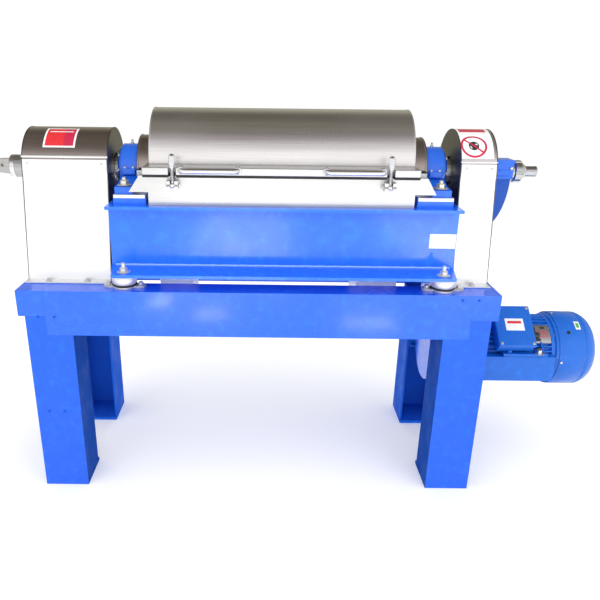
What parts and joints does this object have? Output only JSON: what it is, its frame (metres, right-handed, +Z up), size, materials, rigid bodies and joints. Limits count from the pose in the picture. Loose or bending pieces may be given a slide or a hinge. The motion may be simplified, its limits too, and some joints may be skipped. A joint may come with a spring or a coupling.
{
  "type": "decanter centrifuge",
  "caption": "Horizontal decanter centrifuge on a painted table stand, with a hinged half-round casing lid, bearing blocks, end guards and a belt drive motor below.",
  "frame": {"origin": "on the floor, under the middle of the machine's bounding box", "axes": "+X along the bowl from the gearbox end to the feed end, -Y to the operator's side with the clamps, +Z up"},
  "size_m": [2.162, 0.61, 1.299],
  "materials": {
    "blue_paint": "gloss enamel",
    "motor_paint": "satin enamel",
    "stainless": "brushed",
    "polished_steel": "polished",
    "zinc_plate": "zinc plated",
    "dark_iron": "as cast and turned",
    "rubber": "matt"
  },
  "bodies": {
    "stand_and_casing": {"leg_front_left": "blue_paint", "leg_front_right": "blue_paint", "leg_rear_left": "blue_paint", "leg_rear_right": "blue_paint", "stand_beam_front": "blue_paint", "stand_beam_rear": "blue_paint", "stand_rail_left": "blue_paint", "stand_rail_right": "blue_paint", "damper_front_left": "zinc_plate", "damper_front_right": "zinc_plate", "damper_rear_left": "zinc_plate", "damper_rear_right": "zinc_plate", "frame_beam_front": "blue_paint", "frame_beam_rear": "blue_paint", "frame_end_left": "blue_paint", "frame_end_right": "blue_paint", "bearing_saddle_left": "blue_paint", "bearing_saddle_right": "blue_paint", "pillow_block_left": "blue_paint", "pillow_block_right": "blue_paint", "bearing_left": "polished_steel", "bearing_right": "polished_steel", "lower_casing": "stainless", "solids_chute": "stainless", "liquid_chute": "stainless", "casing_gasket": "rubber", "lid_hinge_pin_left": "polished_steel", "lid_hinge_pin_right": "polished_steel", "gearbox_guard": "stainless", "gearbox_hood": "stainless", "belt_guard": "stainless", "belt_hood": "stainless", "belt_guard_lower": "blue_paint", "pinion_shaft": "polished_steel", "torque_arm": "stainless", "feed_bracket": "blue_paint", "feed_tube": "polished_steel", "feed_union_nut": "polished_steel", "drive_belt_1": "rubber", "drive_belt_2": "rubber", "motor_drive_shield": "motor_paint", "motor_stator": "motor_paint", "motor_fan_cover": "motor_paint", "motor_terminal_box": "motor_paint", "motor_arm_front": "blue_paint", "motor_arm_rear": "blue_paint"},
    "lid": {"lid": "stainless", "lid_handle_left": "polished_steel", "lid_handle_right": "polished_steel"},
    "clamp_left": {"clamp_bolt_left": "polished_steel"},
    "clamp_right": {"clamp_bolt_right": "polished_steel"},
    "bowl": {"bowl_shell": "stainless", "bowl_hub_left": "stainless", "bowl_hub_right": "stainless", "gearbox_housing": "dark_iron", "bowl_pulley": "dark_iron"},
    "conveyor": {"conveyor_shaft": "stainless", "conveyor_flight": "stainless"},
    "motor_rotor": {"motor_rotor": "dark_iron", "motor_pulley": "dark_iron"}
  },
  "joints": [
    {"name": "lid_hinge", "type": "hinge", "parent": "stand_and_casing", "child": "lid", "pos_m": [-0.09, 0.254, 1.123], "axis": [-1, 0, 0], "range_deg": [0, 100]},
    {"name": "clamp_left_swing", "type": "hinge", "parent": "stand_and_casing", "child": "clamp_left", "pos_m": [-0.432, -0.232, 1.078], "axis": [1, 0, 0], "range_deg": [0, 110]},
    {"name": "clamp_right_swing", "type": "hinge", "parent": "stand_and_casing", "child": "clamp_right", "pos_m": [0.248, -0.232, 1.078], "axis": [1, 0, 0], "range_deg": [0, 110]},
    {"name": "bowl_spin", "type": "hinge", "parent": "stand_and_casing", "child": "bowl", "pos_m": [-0.09, 0, 1.099], "axis": [1, 0, 0], "continuous": true},
    {"name": "conveyor_spin", "type": "hinge", "parent": "stand_and_casing", "child": "conveyor", "pos_m": [-0.09, 0, 1.099], "axis": [1, 0, 0], "continuous": true},
    {"name": "motor_spin", "type": "hinge", "parent": "stand_and_casing", "child": "motor_rotor", "pos_m": [0.81, 0, 0.434], "axis": [1, 0, 0], "continuous": true}
  ],
  "couplings": [
    {"joint": "conveyor_spin", "follows": "bowl_spin", "ratio": 0.98246},
    {"joint": "motor_spin", "follows": "bowl_spin", "ratio": 0.49296}
  ]
}
